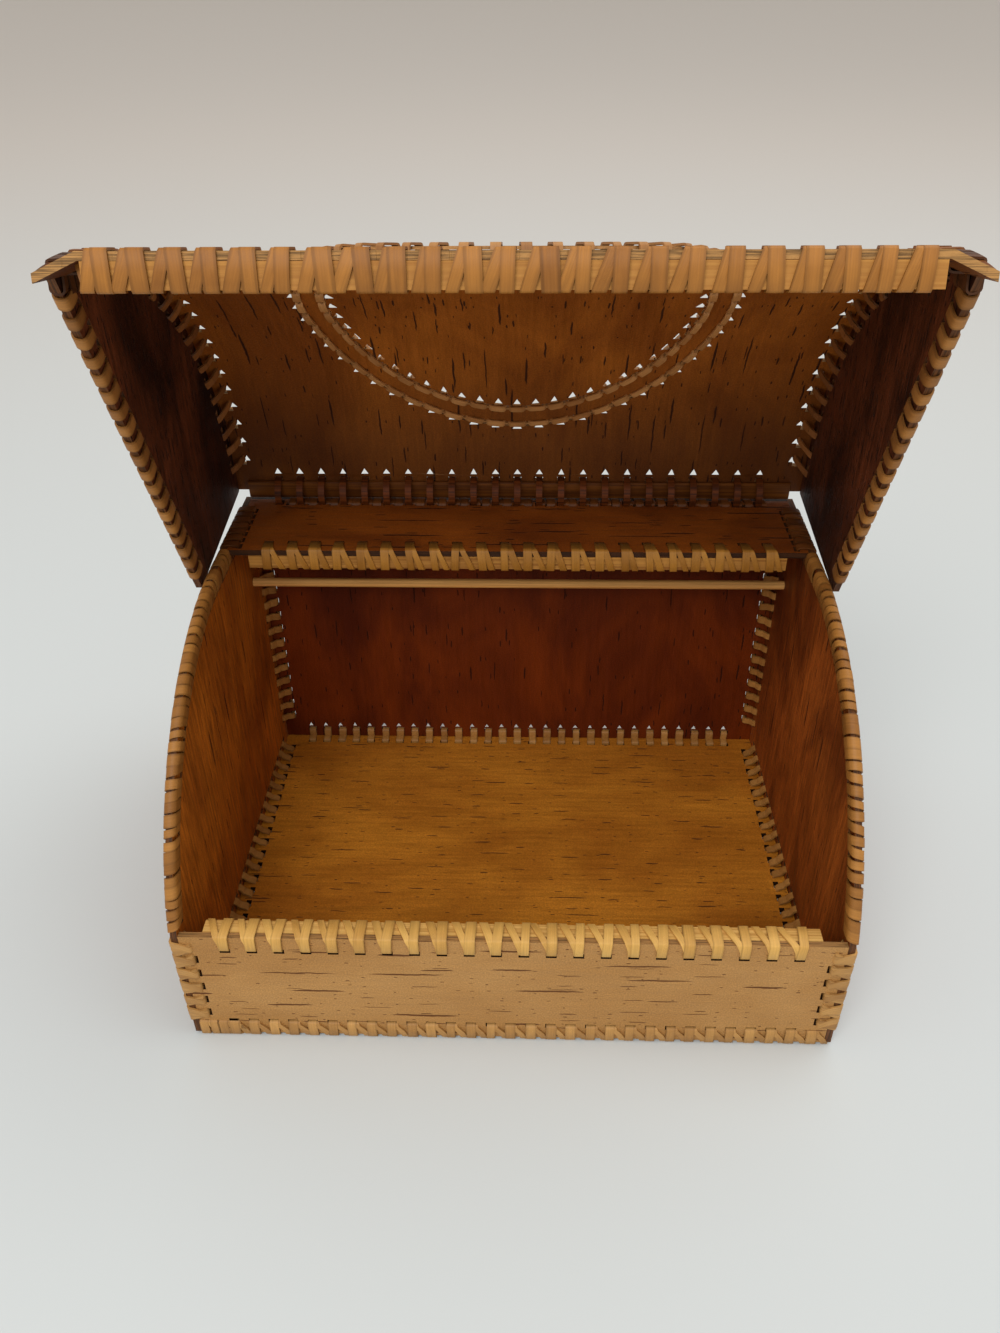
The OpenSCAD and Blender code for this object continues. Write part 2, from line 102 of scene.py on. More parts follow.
def add(tree, kind, values=(), **settings):
    """A node of that kind, with its settings, and its inputs set or linked."""
    made = tree.nodes.new("ShaderNode" + kind)
    for key, value in settings.items():
        setattr(made, key, value)
    for key, value in dict(values).items():
        if isinstance(value, bpy.types.NodeSocket):
            tree.links.new(value, made.inputs[key])
        else:
            made.inputs[key].default_value = value
    return made


def ramp_of(tree, value, low, high, to_low=0.0, to_high=1.0):
    """A smooth step from to_low to to_high while the value goes from low to high."""
    return add(tree, "MapRange", {"Value": value, "From Min": low, "From Max": high,
                                  "To Min": to_low, "To Max": to_high},
               interpolation_type="SMOOTHSTEP").outputs["Result"]


def colours_of(tree, share, a, b, blend="MIX"):
    """Two colours mixed by a share, or blended in another way."""
    return add(tree, "Mix", {0: share, 6: a, 7: b}, data_type="RGBA", blend_type=blend).outputs[2]


def object_axes(tree):
    """The three object coordinates."""
    return add(tree, "SeparateXYZ", {0: add(tree, "TexCoord").outputs["Object"]}).outputs


paper_size, paper_y = 8, 2.2
fold_count, fold_length, fold_turn = 8, 0.5, 10
clear_choice()
bpy.ops.mesh.primitive_plane_add(size=paper_size, location=(0, paper_y, 0))
paper = bpy.context.object
bpy.ops.object.mode_set(mode="EDIT")
bpy.ops.mesh.select_all(action="DESELECT")
bpy.ops.object.mode_set(mode="OBJECT")
for edge in paper.data.edges:
    edge.select = all(paper.data.vertices[v].co.y > 0 for v in edge.vertices)
bpy.ops.object.mode_set(mode="EDIT")
for step in range(1, fold_count + 1):
    turn = math.radians(fold_turn*step)
    bpy.ops.mesh.extrude_region_move(TRANSFORM_OT_translate={
        "value": (0, fold_length*math.cos(turn), fold_length*math.sin(turn))})
bpy.ops.mesh.select_all(action="SELECT")
bpy.ops.mesh.normals_make_consistent(inside=False)
bpy.ops.object.mode_set(mode="OBJECT")
bpy.ops.object.shade_smooth()
piece_of(paper, "paper_floor")
paper_skin, tree, shader = skin_of("pale_paper", 0.1)
shader.inputs["Roughness"].default_value = 0.9
# Painted light: the paper's colour grows lighter and warmer towards the back.
painted_light_fade = ramp_of(tree, object_axes(tree)["Y"], -0.1, 2.4)
tree.links.new(colours_of(tree, painted_light_fade, tint(206, 210, 209), tint(222, 214, 205)), shader.inputs["Base Color"])
paper.data.materials.append(paper_skin)

room = bpy.data.worlds.new("room")
scene.world = room
room.use_nodes = True
room.node_tree.nodes["Background"].inputs["Color"].default_value = (1, 0.99, 0.97, 1)
room.node_tree.nodes["Background"].inputs["Strength"].default_value = 0.62
lamp_aim = Vector((0, 0, 0.12))
for lamp_name, lamp_place, lamp_size, lamp_power in (
        ("front_lamp", (-0.45, -1.5, 1.9), 1.5, 26),
        ("top_lamp", (0.7, 0.3, 2.3), 1.6, 16)):
    lamp = bpy.data.objects.new(lamp_name, bpy.data.lights.new(lamp_name, "AREA"))
    lamp.data.shape = "DISK"
    lamp.data.size = lamp_size
    lamp.data.energy = lamp_power
    lamp.location = lamp_place
    lamp.rotation_euler = (lamp_aim - Vector(lamp_place)).to_track_quat("-Z", "Y").to_euler()
    scene.collection.objects.link(lamp)

# ---------- bottom sheet ----------
# A flat sheet of birch bark, two layers thick, golden brown inside with short dark pores along
# its width. It lies between the four walls and is laced to each of them.


def math_of(tree, operation, a, b=None, c=None, clamp=False):
    """The result of one operation on up to three numbers."""
    values = {i: v for i, v in enumerate((a, b, c)) if v is not None}
    return add(tree, "Math", values, operation=operation, use_clamp=clamp).outputs[0]


def stretch_of(tree, vector, scale):
    """A place with each of its three measures multiplied."""
    return add(tree, "VectorMath", {0: vector, 1: scale}, operation="MULTIPLY").outputs[0]


def noise_of(tree, vector, detail, **more):
    """Noise over a place that has been stretched to the fineness wanted."""
    return add(tree, "TexNoise", {"Vector": vector, "Scale": 1.0, "Detail": detail, **more}).outputs["Fac"]


def dimmed(tree, colour, share):
    """A colour multiplied by a share."""
    grey = add(tree, "CombineColor", {0: share, 1: share, 2: share}).outputs[0]
    return colours_of(tree, 1.0, colour, grey, "MULTIPLY")


def relief(tree, shader, height, strength, distance):
    """Gives a shader the fine relief of its surface."""
    bump = add(tree, "Bump", {"Height": height, "Strength": strength, "Distance": distance})
    tree.links.new(bump.outputs[0], shader.inputs["Normal"])


def group_of(name, vectors, numbers, results):
    """A node group with those inputs and results, and what its nodes are linked to."""
    made = bpy.data.node_groups.new(name, "ShaderNodeTree")
    for titles, way, kind in ((vectors, "INPUT", "Vector"), (numbers, "INPUT", "Float"),
                              (results, "OUTPUT", "Float")):
        for title in titles:
            made.interface.new_socket(title, in_out=way, socket_type="NodeSocket" + kind)
    return made, made.nodes.new("NodeGroupInput").outputs, made.nodes.new("NodeGroupOutput").inputs


# Dark pores of the bark: thin lens-shaped marks scattered over the sheet, long along its grain
pores, given, result = group_of("bark_pores", ("Place", "Cell"), ("Half Length", "Half Width", "Share"),
                                ("Mark",))
waver = math_of(pores, "SUBTRACT", noise_of(pores, given["Place"], 2.0, Scale=160.0), 0.5)
shift = add(pores, "CombineXYZ", {"Y": math_of(pores, "MULTIPLY", waver, 0.0012)}).outputs[0]
spot = add(pores, "VectorMath", {0: given["Place"], 1: shift}, operation="ADD").outputs[0]
spot = add(pores, "VectorMath", {0: spot, 1: given["Cell"]}, operation="DIVIDE").outputs[0]
cells = add(pores, "TexVoronoi", {"Vector": spot, "Scale": 1.0, "Randomness": 0.8},
            voronoi_dimensions="2D", feature="F1").outputs
away = add(pores, "VectorMath", {0: spot, 1: cells["Position"]}, operation="SUBTRACT").outputs[0]
away = add(pores, "SeparateXYZ", {0: stretch_of(pores, away, given["Cell"])}).outputs
luck = add(pores, "SeparateColor", {0: cells["Color"]}).outputs
pore_length = math_of(pores, "MULTIPLY", given["Half Length"],
                      math_of(pores, "MULTIPLY_ADD", luck[1], 0.65, 0.35))
pore_width = math_of(pores, "MULTIPLY", given["Half Width"],
                     math_of(pores, "MULTIPLY_ADD", luck[2], 0.6, 0.7))
run = math_of(pores, "ABSOLUTE", math_of(pores, "DIVIDE", away["X"], pore_length))
rise = math_of(pores, "ABSOLUTE", math_of(pores, "DIVIDE", away["Y"], pore_width))
inside = math_of(pores, "SUBTRACT", 1.0, math_of(pores, "POWER", run, 4.0))
inside = math_of(pores, "SUBTRACT", inside, rise)
shown = math_of(pores, "LESS_THAN", luck[0], given["Share"])
pores.links.new(math_of(pores, "MULTIPLY", ramp_of(pores, inside, 0.0, 0.45), shown), result["Mark"])

# The tone of the bark: broad blotches, fine streaks along the grain and a close speckle
tones, given, result = group_of("bark_tones", ("Place",), (), ("Blotch", "Streak", "Speckle"))
blotch = noise_of(tones, stretch_of(tones, given["Place"], (9, 17, 20)), 4.0, Roughness=0.6, Distortion=0.6)
streak = noise_of(tones, stretch_of(tones, given["Place"], (32, 520, 300)), 5.0, Roughness=0.65)
speckle = noise_of(tones, given["Place"], 2.0, Scale=1300.0, Roughness=0.7)
tones.links.new(ramp_of(tones, blotch, 0.3, 0.72), result["Blotch"])
tones.links.new(ramp_of(tones, streak, 0.28, 0.74), result["Streak"])
tones.links.new(ramp_of(tones, speckle, 0.3, 0.75), result["Speckle"])


def sheet_place(tree, run, across, depth):
    """Object coordinates turned so that X runs along the bark's grain and Z through the sheet."""
    axes = object_axes(tree)
    return add(tree, "CombineXYZ", {"X": axes[run], "Y": axes[across], "Z": axes[depth]}).outputs[0]


def flat_share(tree, facing):
    """One on the sheet's two broad faces and none on its cut edges."""
    return ramp_of(tree, math_of(tree, "ABSOLUTE", facing), 0.45, 0.8)


def sheet_broad(tree, depth):
    """The same for a flat sheet whose thickness lies along that axis."""
    normal = add(tree, "SeparateXYZ", {0: add(tree, "TexCoord").outputs["Normal"]}).outputs
    return flat_share(tree, normal[depth])


def bark(name, run="X", across="Y", depth="Z", *, light, dark, layers, mark=(60, 28, 10),
         cut=(176, 128, 74), grain=0.2, place=None, broad=None, shade=None, painted_hole_shade_below=None):
    """Bark: two tones, streaks, layers of pores, and a layered cut edge, which is pale on some sheets and a
    dark painted shade of the awl holes on others. Each layer of pores has its spacing along and across the
    grain, its half length, its half width and its share of places. A shade function multiplies painted shade
    into the bark's lightness. With painted hole shade, the cut edges before that stretch of an axis, the
    walls of the awl holes, get a dark painted shade, and those after it stay pale."""
    made, tree, shader = skin_of(name, 0.22)
    place = place(tree) if place else sheet_place(tree, run, across, depth)
    broad = broad(tree) if broad else sheet_broad(tree, depth)
    tone = add(tree, "Group", {"Place": place}, node_tree=tones).outputs
    body = colours_of(tree, tone["Blotch"], tint(*dark), tint(*light))
    streaked = math_of(tree, "MULTIPLY_ADD", tone["Streak"], grain, 1 - 0.55*grain)
    speckled = math_of(tree, "MULTIPLY_ADD", tone["Speckle"], 0.34, 0.83)
    lightness = math_of(tree, "MULTIPLY", streaked, speckled)
    # Painted shade: a shade function darkens the bark where shade falls.
    if shade:
        lightness = math_of(tree, "MULTIPLY", lightness, shade(tree, place))
    body = dimmed(tree, body, lightness)
    marks = 0.0
    for number, (along, aside, half, width, share) in enumerate(layers):
        moved = add(tree, "VectorMath", {0: place, 1: (0.31*number, 0.17*number, 0)}, operation="ADD")
        lines = add(tree, "Group", {"Place": moved.outputs[0], "Cell": (along, aside, 1), "Half Length": half,
                                    "Half Width": width, "Share": share}, node_tree=pores)
        marks = math_of(tree, "MAXIMUM", marks, lines.outputs["Mark"])
    body = colours_of(tree, math_of(tree, "MULTIPLY", marks, 0.92), body, tint(*mark))
    split = noise_of(tree, stretch_of(tree, place, (60, 60, 1800)), 3.0)
    layered = colours_of(tree, ramp_of(tree, split, 0.35, 0.65), tint(*[0.62*c for c in cut]), tint(*cut))
    # Painted shade: cut faces before the stretch, the walls of the awl holes, take a dark colour.
    if painted_hole_shade_below:
        axis, low, high = painted_hole_shade_below
        above_hole_shade = ramp_of(tree, object_axes(tree)[axis], low, high)
        layered = colours_of(tree, above_hole_shade, tint(34, 16, 7), layered)
    tree.links.new(colours_of(tree, broad, layered, body), shader.inputs["Base Color"])
    rough = math_of(tree, "MULTIPLY_ADD", tone["Streak"], 0.16, 0.5)
    tree.links.new(math_of(tree, "MULTIPLY_ADD", marks, 0.2, rough, clamp=True), shader.inputs["Roughness"])
    height = math_of(tree, "MULTIPLY", tone["Speckle"], 0.25)
    height = math_of(tree, "MULTIPLY_ADD", tone["Streak"], 0.35, height)
    relief(tree, shader, math_of(tree, "SUBTRACT", height, marks), 0.6, 0.0004)
    return made


def dress(node_name, material):
    """Gives a sheet, lath or rod of the construction its finish."""
    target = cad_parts[node_name]
    target.data.materials.clear()
    target.data.materials.append(material)


# The floor's very dark cut colour is painted shade in its awl holes.
dress("floor_panel", bark(
    "bottom_bark", light=(204, 131, 37), dark=(166, 98, 23), mark=(84, 44, 11), cut=(50, 26, 10), grain=0.3,
    layers=((0.024, 0.0066, 0.0056, 0.0004, 0.42), (0.042, 0.012, 0.0115, 0.00044, 0.3),
            (0.009, 0.004, 0.0016, 0.00028, 0.3))))

# ---------- front wall ----------
# The low front wall is a pale sheet of bark with its outer side out, marked by a few long dark pores.
# It is laced to the bottom and to both side walls. Its upper edge is pale, and its holes are painted dark:
# painted shade.
dress("front_panel", bark(
    "front_bark", "X", "Z", "Y", light=(188, 140, 82), dark=(174, 125, 68), mark=(92, 50, 20), grain=0.1,
    painted_hole_shade_below=("Z", 0.0655, 0.0665),
    layers=((0.052, 0.0094, 0.0185, 0.0006, 0.5), (0.03, 0.0052, 0.008, 0.00028, 0.4),
            (0.007, 0.003, 0.0012, 0.00025, 0.25))))

# ---------- rear wall ----------
# The tall rear wall is the darkest and reddest sheet of bark, with its pores upright. It is laced to
# the bottom, the side walls and the shelf, and light shows through the awl holes at its foot.
# An awl hole starts a little before the inner face and goes through the sheet along the line of sight.
back, thickness, pitch = 0.108378, 0.003, 0.0093
mouth_shift, mouth_z, mouth_size = -0.0008, 0.0128, 0.0016
awl_start, awl_reach, awl_slant = 0.0008, 0.0048, 0.3


def seat(origin, along, first, second):
    """The matrix that sets what is made in a frame of its own at a place of the box."""
    return Matrix([[along[i], first[i], second[i], origin[i]] for i in range(3)] + [[0, 0, 0, 1]])


def pierce(node_name, mouths, material, name, body, seed):
    """A copy of a sheet with the three-cornered mouths of awl holes, through which light shows. Each
    mouth has its place on the inner face, the ways across, up and out of the sheet, and its size."""
    chance = random.Random(seed)
    clear_choice()
    bpy.ops.mesh.primitive_cone_add(vertices=3, radius1=1, radius2=1, depth=1, location=(0, 0, 0.5))
    awl = bpy.context.object
    bpy.ops.object.transform_apply(location=True, rotation=True, scale=True)
    pricks = []
    for spot, across, up, out, size in mouths:
        sight = (spot - eye).normalized()
        through = sight/max(awl_slant, sight.dot(out))
        wide, tall = size*chance.uniform(0.85, 1.1), size*chance.uniform(0.9, 1.15)
        place = seat(spot - through*awl_start, across*wide, up*tall, through*awl_reach)
        prick = awl.copy()
        prick.data = awl.data.copy()
        prick.data.transform(place)
        if place.determinant() < 0:
            prick.data.flip_normals()
        scene.collection.objects.link(prick)
        pricks.append(prick)
    bpy.data.objects.remove(awl, do_unlink=True)
    clear_choice()
    for prick in pricks:
        prick.select_set(True)
    bpy.context.view_layer.objects.active = pricks[0]
    bpy.ops.object.join()
    pricks = bpy.context.object
    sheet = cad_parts[node_name].copy()
    sheet.data = sheet.data.copy()
    scene.collection.objects.link(sheet)
    clear_choice()
    sheet.select_set(True)
    bpy.context.view_layer.objects.active = sheet
    bpy.ops.object.mode_set(mode="EDIT")
    bpy.ops.mesh.select_all(action="SELECT")
    bpy.ops.mesh.remove_doubles(threshold=0.000001)
    bpy.ops.object.mode_set(mode="OBJECT")
    bpy.ops.object.modifier_add(type="BOOLEAN")
    sheet.modifiers[-1].operation = "DIFFERENCE"
    sheet.modifiers[-1].solver = "EXACT"
    sheet.modifiers[-1].object = pricks
    bpy.ops.object.modifier_apply(modifier=sheet.modifiers[-1].name)
    bpy.data.objects.remove(pricks, do_unlink=True)
    bpy.ops.object.shade_smooth_by_angle(angle=math.radians(30))
    bpy.ops.object.modifier_add(type="WEIGHTED_NORMAL")
    sheet.modifiers[-1].keep_sharp = True
    sheet.modifiers[-1].weight = 100
    bpy.ops.object.modifier_apply(modifier=sheet.modifiers[-1].name)
    sheet.data.materials.clear()
    sheet.data.materials.append(material)
    piece_of(sheet, name, body)
    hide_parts(node_name)


# The very dark cut colour is painted shade in the awl holes.
rear_skin = bark(
    "rear_bark", "Z", "X", "Y", light=(126, 50, 3), dark=(80, 24, 1), mark=(44, 13, 2), cut=(60, 28, 10),
    grain=0.16, layers=((0.026, 0.0115, 0.0075, 0.00045, 0.42), (0.012, 0.006, 0.0028, 0.00035, 0.3)))
across, up, out = Vector((1, 0, 0)), Vector((0, 0, 1)), Vector((0, 1, 0))
mouths = [(Vector((i*pitch + mouth_shift, back - thickness, mouth_z)), across, up, out, mouth_size)
          for i in range(-14, 15)]
pierce("back_panel", mouths, rear_skin, "rear_bark_sheet", "base", 3)

# ---------- side walls ----------
# Two sheets of bark with a curved front edge and upright grain, the right one redder. Each is laced to
# the bottom, the front wall, the rear wall and the shelf.
for side, light, dark, mark in (("left", (210, 120, 31), (152, 78, 17), (62, 27, 6)),
                                ("right", (188, 100, 34), (102, 43, 9), (50, 20, 5))):
    dress("%s_side_panel" % side, bark(
        "%s_side_bark" % side, "Z", "Y", "X", light=light, dark=dark, mark=mark, cut=(112, 68, 34),
        grain=0.75, layers=((0.05, 0.011, 0.016, 0.0007, 0.25), (0.02, 0.006, 0.005, 0.0003, 0.3))))

# ---------- shelf ----------
# The fixed strip of bark that closes the rear of the top. It is laced to the rear wall and to both side
# walls, and the lid is sewn to its rear edge.
# The very dark cut colour is painted shade in the awl holes.
dress("shelf_panel", bark(
    "shelf_bark", light=(160, 86, 23), dark=(112, 53, 12), mark=(34, 13, 4), cut=(70, 38, 14), grain=0.24,
    layers=((0.06, 0.0085, 0.024, 0.0006, 0.55), (0.018, 0.005, 0.005, 0.0004, 0.4))))

# ---------- lid sheet ----------
# One large sheet of birch bark, bent to a curve with its pores along the bend, darker inside than the
# base, with painted shade towards the hinge and under its two front corners. Strap loops hold it at the
# rear, and light shows through its awl holes. The curve is an arc round an axis along X, and a flat
# stretch follows it in front.
arc_y, arc_z, arc_r = -0.066775, 0.164423, 0.174
arc_start, arc_end = math.radians(3.617), math.radians(75.562)
arc_length = (arc_end - arc_start)*arc_r
lid_pitch, clear = 0.0118, 0.013
hinge_row_s, side_row_x = 0.0121, 0.1452
ring_s, ring_r, ring_count, ring_hole = 0.139, 0.090, 54, 0.005


def from_axis(tree):
    """How far a place is from the bend's axis, along Y and along Z."""
    axes = object_axes(tree)
    return math_of(tree, "SUBTRACT", axes["Y"], arc_y), math_of(tree, "SUBTRACT", axes["Z"], arc_z)


def lid_place(tree):
    """X runs along the bend, Y across the lid and Z out through the sheet."""
    y, z = from_axis(tree)
    out = math_of(tree, "SQRT", math_of(tree, "MULTIPLY_ADD", y, y, math_of(tree, "MULTIPLY", z, z)))
    round_bend = math_of(tree, "MULTIPLY", math_of(tree, "ARCTAN2", z, y), arc_r + thickness/2)
    return add(tree, "CombineXYZ", {"X": round_bend, "Y": object_axes(tree)["X"], "Z": out}).outputs[0]


def lid_broad(tree):
    """One on the bent sheet's faces and none on its cut edges."""
    y, z = from_axis(tree)
    out = add(tree, "CombineXYZ", {"Y": y, "Z": z}).outputs[0]
    out = add(tree, "VectorMath", {0: out}, operation="NORMALIZE").outputs[0]
    facing = add(tree, "VectorMath", {0: out, 1: add(tree, "TexCoord").outputs["Normal"]},
                 operation="DOT_PRODUCT")
    return flat_share(tree, facing.outputs["Value"])


def lid_painted_shade(tree, place):
    """Painted shade: the bend is darker towards the hinge and under its two front corners."""
    axes = add(tree, "SeparateXYZ", {0: place}).outputs
    # Painted shade towards the hinge, and painted shade under the front corners.
    rise = ramp_of(tree, axes["X"], 0.02, 0.115, 0.42, 1.0)
    corner = math_of(tree, "MULTIPLY", ramp_of(tree, math_of(tree, "ABSOLUTE", axes["Y"]), 0.138, 0.142),
                    ramp_of(tree, axes["X"], 0.2, 0.22))
    return math_of(tree, "MULTIPLY", rise, ramp_of(tree, corner, 0.0, 1.0, 1.0, 0.4))


def on_sheet(x, s, lift_off=0.0):
    """A place on the lid's inner face at distance s from the hinge, with the ways across, towards the
    hinge and out of the sheet."""
    turn = arc_start + min(s, arc_length)/arc_r
    out = Vector((0, math.cos(turn), math.sin(turn)))
    back_way = Vector((0, math.sin(turn), -math.cos(turn)))
    spot = Vector((x, arc_y, arc_z)) + out*(arc_r + lift_off) - back_way*max(0.0, s - arc_length)
    return spot, Vector((1, 0, 0)), back_way, out


lid_skin = bark(
    "lid_bark", light=(176, 98, 28), dark=(128, 64, 14), mark=(46, 18, 5), cut=(188, 138, 80), grain=0.2,
    place=lid_place, broad=lid_broad, shade=lid_painted_shade,
    layers=((0.044, 0.0125, 0.016, 0.00055, 0.62), (0.024, 0.0105, 0.0075, 0.00045, 0.45),
            (0.009, 0.0045, 0.0018, 0.00035, 0.25)))
mouths = [(i*lid_pitch, hinge_row_s, 0.0021) for i in range(-11, 12)]
mouths += [(hand*side_row_x, clear + (i + 0.62)*lid_pitch, 0.002) for i in range(18) for hand in (-1, 1)]
for i in range(ring_count):
    turn = 2*math.pi*(i + 0.5)/ring_count
    for radius, size in ((ring_r - 0.0084, 0.0027), (ring_r + 0.0072, 0.0025)):
        s = ring_s + radius*math.sin(turn)
        if s < arc_length - 0.006:
            mouths.append((radius*math.cos(turn), s, size))
seats = []
for x, s, size in mouths:
    spot, across, back_way, out = on_sheet(x, s)
    seats.append((spot, across, -back_way, out, size))
pierce("lid_sheet", seats, lid_skin, "lid_bark_sheet", "lid", 5)

# ---------- cheeks ----------
# Two gussets of very dark fibrous bark that close the lid's ends. Each is laced to an edge of the bent
# sheet, and its free edge is whipped.
for cheek in ("left_cheek", "right_cheek"):
    dress(cheek, bark(
        cheek + "_bark", "Z", "Y", "X", light=(116, 60, 31), dark=(32, 11, 5), mark=(18, 7, 4),
        cut=(110, 66, 32), grain=0.9,
        layers=((0.02, 0.004, 0.007, 0.0005, 0.5), (0.009, 0.003, 0.0025, 0.0004, 0.5))))

# ---------- laths and rod ----------
# Split softwood laths and a whittled rod, with fine grain along their length. Straps bind the laths to
# the free edges of the sheets. The hinge lath is drawn again, taller and thinner.


# The grain of split wood: fine lines along X and faint clouds
wood_grain, given, result = group_of("wood_grain", ("Place",), (), ("Line", "Cloud"))
line = noise_of(wood_grain, stretch_of(wood_grain, given["Place"], (14, 900, 900)), 4.0)
cloud = noise_of(wood_grain, stretch_of(wood_grain, given["Place"], (30, 120, 120)), 3.0)
wood_grain.links.new(line, result["Line"])
wood_grain.links.new(cloud, result["Cloud"])


def wood(name, light, dark):
    """Split wood: grain lines along X, two tones and a slight roughness."""
    made, tree, shader = skin_of(name, 0.2)
    place = add(tree, "TexCoord").outputs["Object"]
    grain = add(tree, "Group", {"Place": place}, node_tree=wood_grain).outputs
    body = colours_of(tree, ramp_of(tree, grain["Line"], 0.3, 0.7), tint(*dark), tint(*light))
    body = dimmed(tree, body, math_of(tree, "MULTIPLY_ADD", grain["Cloud"], 0.3, 0.85))
    tree.links.new(body, shader.inputs["Base Color"])
    tree.links.new(math_of(tree, "MULTIPLY_ADD", grain["Line"], 0.2, 0.45), shader.inputs["Roughness"])
    relief(tree, shader, grain["Line"], 0.4, 0.0003)
    return made


dress("front_rim_lath", wood("rim_lath_wood", (222, 176, 100), (184, 134, 66)))
dress("shelf_front_lath", wood("shelf_lath_wood", (190, 134, 62), (146, 94, 38)))
dress("lid_front_lath", wood("lid_lath_wood", (190, 134, 66), (170, 114, 53)))
dress("cross_rod", wood("rod_wood", (246, 186, 106), (204, 146, 78)))
lath_size, lath_edge = (0.294, 0.0097, 0.002), 0.0005
lath_s, lath_in = 0.00195, 0.0011
clear_choice()
bpy.ops.mesh.primitive_cube_add(size=1, location=(0, 0, 0))
lath = bpy.context.object
bpy.ops.object.mode_set(mode="EDIT")
bpy.ops.mesh.select_all(action="SELECT")
bpy.ops.transform.resize(value=lath_size)
bpy.ops.mesh.bevel(offset=lath_edge, segments=2, affect="EDGES")
bpy.ops.object.mode_set(mode="OBJECT")
spot, across, back_way, out = on_sheet(0, lath_s, -lath_in)
lath.data.transform(seat(spot, across, -back_way, out))
lath.data.flip_normals()
bpy.ops.object.shade_smooth_by_angle(angle=math.radians(40))
lath.data.materials.append(wood("hinge_lath_wood", (124, 70, 20), (78, 38, 9)))
piece_of(lath, "hinge_lath", "lid")
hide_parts("lid_back_lath")

# ---------- bottom seams ----------
# Flat straps split from root, about 4 mm wide, go through a row of awl holes in the wall, round the
# bottom edge and up through the floor. Each hole also takes a second, slanted strap on the outside.
half_width, front, middle_y = 0.150, -0.114622, -0.003122
bottom, top, rim = 0.00115, 0.171, 0.068
hole, lift, flat_swell = 0.0075, 0.00062, 0.00004
side_weight = 0.05
strap_blanks = []


def lay_strap(name, path, width, thick=0.0009, bend=0.0007, rounds=1):
    """One strap: a flat strip led along its path in the seam's own frame, where X follows the seam,
    Y goes into the first sheet and Z into the second. Its lay along and across is kept for the grain."""
    clear_choice()
    path = [Vector(p) for p in path]
    bpy.ops.mesh.primitive_plane_add(size=width, location=(0, 0, 0))
    strip = bpy.context.object
    bpy.ops.object.mode_set(mode="EDIT")
    bpy.ops.mesh.select_all(action="SELECT")
    bpy.ops.transform.resize(value=(1, 0, 1))
    bpy.ops.mesh.remove_doubles(threshold=0.00001)
    bpy.ops.mesh.select_all(action="SELECT")
    bpy.ops.transform.translate(value=path[0])
    for start, end in zip(path, path[1:]):
        bpy.ops.mesh.extrude_region_move(TRANSFORM_OT_translate={"value": end - start})
    bpy.ops.mesh.select_all(action="SELECT")
    bpy.ops.mesh.normals_make_consistent(inside=False)
    bpy.ops.object.mode_set(mode="OBJECT")
    bpy.ops.object.modifier_add(type="BEVEL")
    strip.modifiers[-1].width = bend
    strip.modifiers[-1].segments = rounds
    strip.modifiers[-1].limit_method = "ANGLE"
    strip.modifiers[-1].angle_limit = math.radians(22)
    bpy.ops.object.modifier_apply(modifier=strip.modifiers[-1].name)
    bpy.ops.object.modifier_add(type="SOLIDIFY")
    strip.modifiers[-1].thickness = thick
    strip.modifiers[-1].offset = 0
    strip.modifiers[-1].use_even_offset = True
    bpy.ops.object.modifier_apply(modifier=strip.modifiers[-1].name)
    bpy.ops.object.transform_apply(location=True, rotation=True, scale=True)
    bpy.ops.object.shade_smooth_by_angle(angle=math.radians(50))
    lay = strip.data.attributes.new("lay", "FLOAT_VECTOR", "POINT")
    for vertex in strip.data.vertices:
        best = None
        run = 0.0
        for start, end in zip(path, path[1:]):
            step = end - start
            part = max(0.0, min(1.0, (vertex.co - start).dot(step)/step.length_squared))
            foot = start + step*part
            off = vertex.co - foot
            gap = off.y*off.y + off.z*off.z + side_weight*off.x*off.x
            if best is None or gap < best[0]:
                best = (gap, off.x, run + step.length*part)
            run += step.length
        lay.data[vertex.index].vector = (best[1], best[2], 0)
    strip.name = name
    return strip


def blanks_of(name, kinds, **make):
    """The blanks of one sort of strap, each with a path and a width of its own."""
    made = [lay_strap("%s_%d" % (name, i), path, width, **make) for i, (path, width) in enumerate(kinds)]
    strap_blanks.extend(made)
    return made


def row(length, pitch):
    """Evenly spaced places that fit a length, either side of its middle."""
    count = int(length/pitch + 1e-6)
    return [(i - (count - 1)/2)*pitch for i in range(count)]


def sew(name, blanks, places, body, material, node, seed, play=1.0):
    """Copies a blank of each sort to every place and makes them one piece. Each copy has a width, a
    lean and a place along the seam that differ a little, more so with more play."""
    chance = random.Random(seed)
    copies = []
    for place in places:
        for blank in blanks:
            choice = chance.choice(blank)
            strap = choice.copy()
            strap.data = choice.data.copy()
            scene.collection.objects.link(strap)
            wide = chance.uniform(1 - 0.1*play, 1 + 0.12*play)
            tilt = chance.uniform(-0.035, 0.035)*play
            slide = chance.uniform(-0.0003, 0.0003)*play
            loose = Matrix(((wide, tilt, -tilt, slide), (0, 1, 0, 0), (0, 0, 1, 0), (0, 0, 0, 1)))
            whole = place @ loose
            strap.data.transform(whole)
            if whole.determinant() < 0:
                strap.data.flip_normals()
            tone = chance.random()*9
            for item in strap.data.attributes["lay"].data:
                item.vector = (item.vector[0], item.vector[1], tone)
            copies.append(strap)
    clear_choice()
    for strap in copies:
        strap.select_set(True)
    bpy.context.view_layer.objects.active = copies[0]
    bpy.ops.object.join()
    piece = bpy.context.object
    piece.data.materials.clear()
    piece.data.materials.append(material)
    piece_of(piece, name, body)
    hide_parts(node)


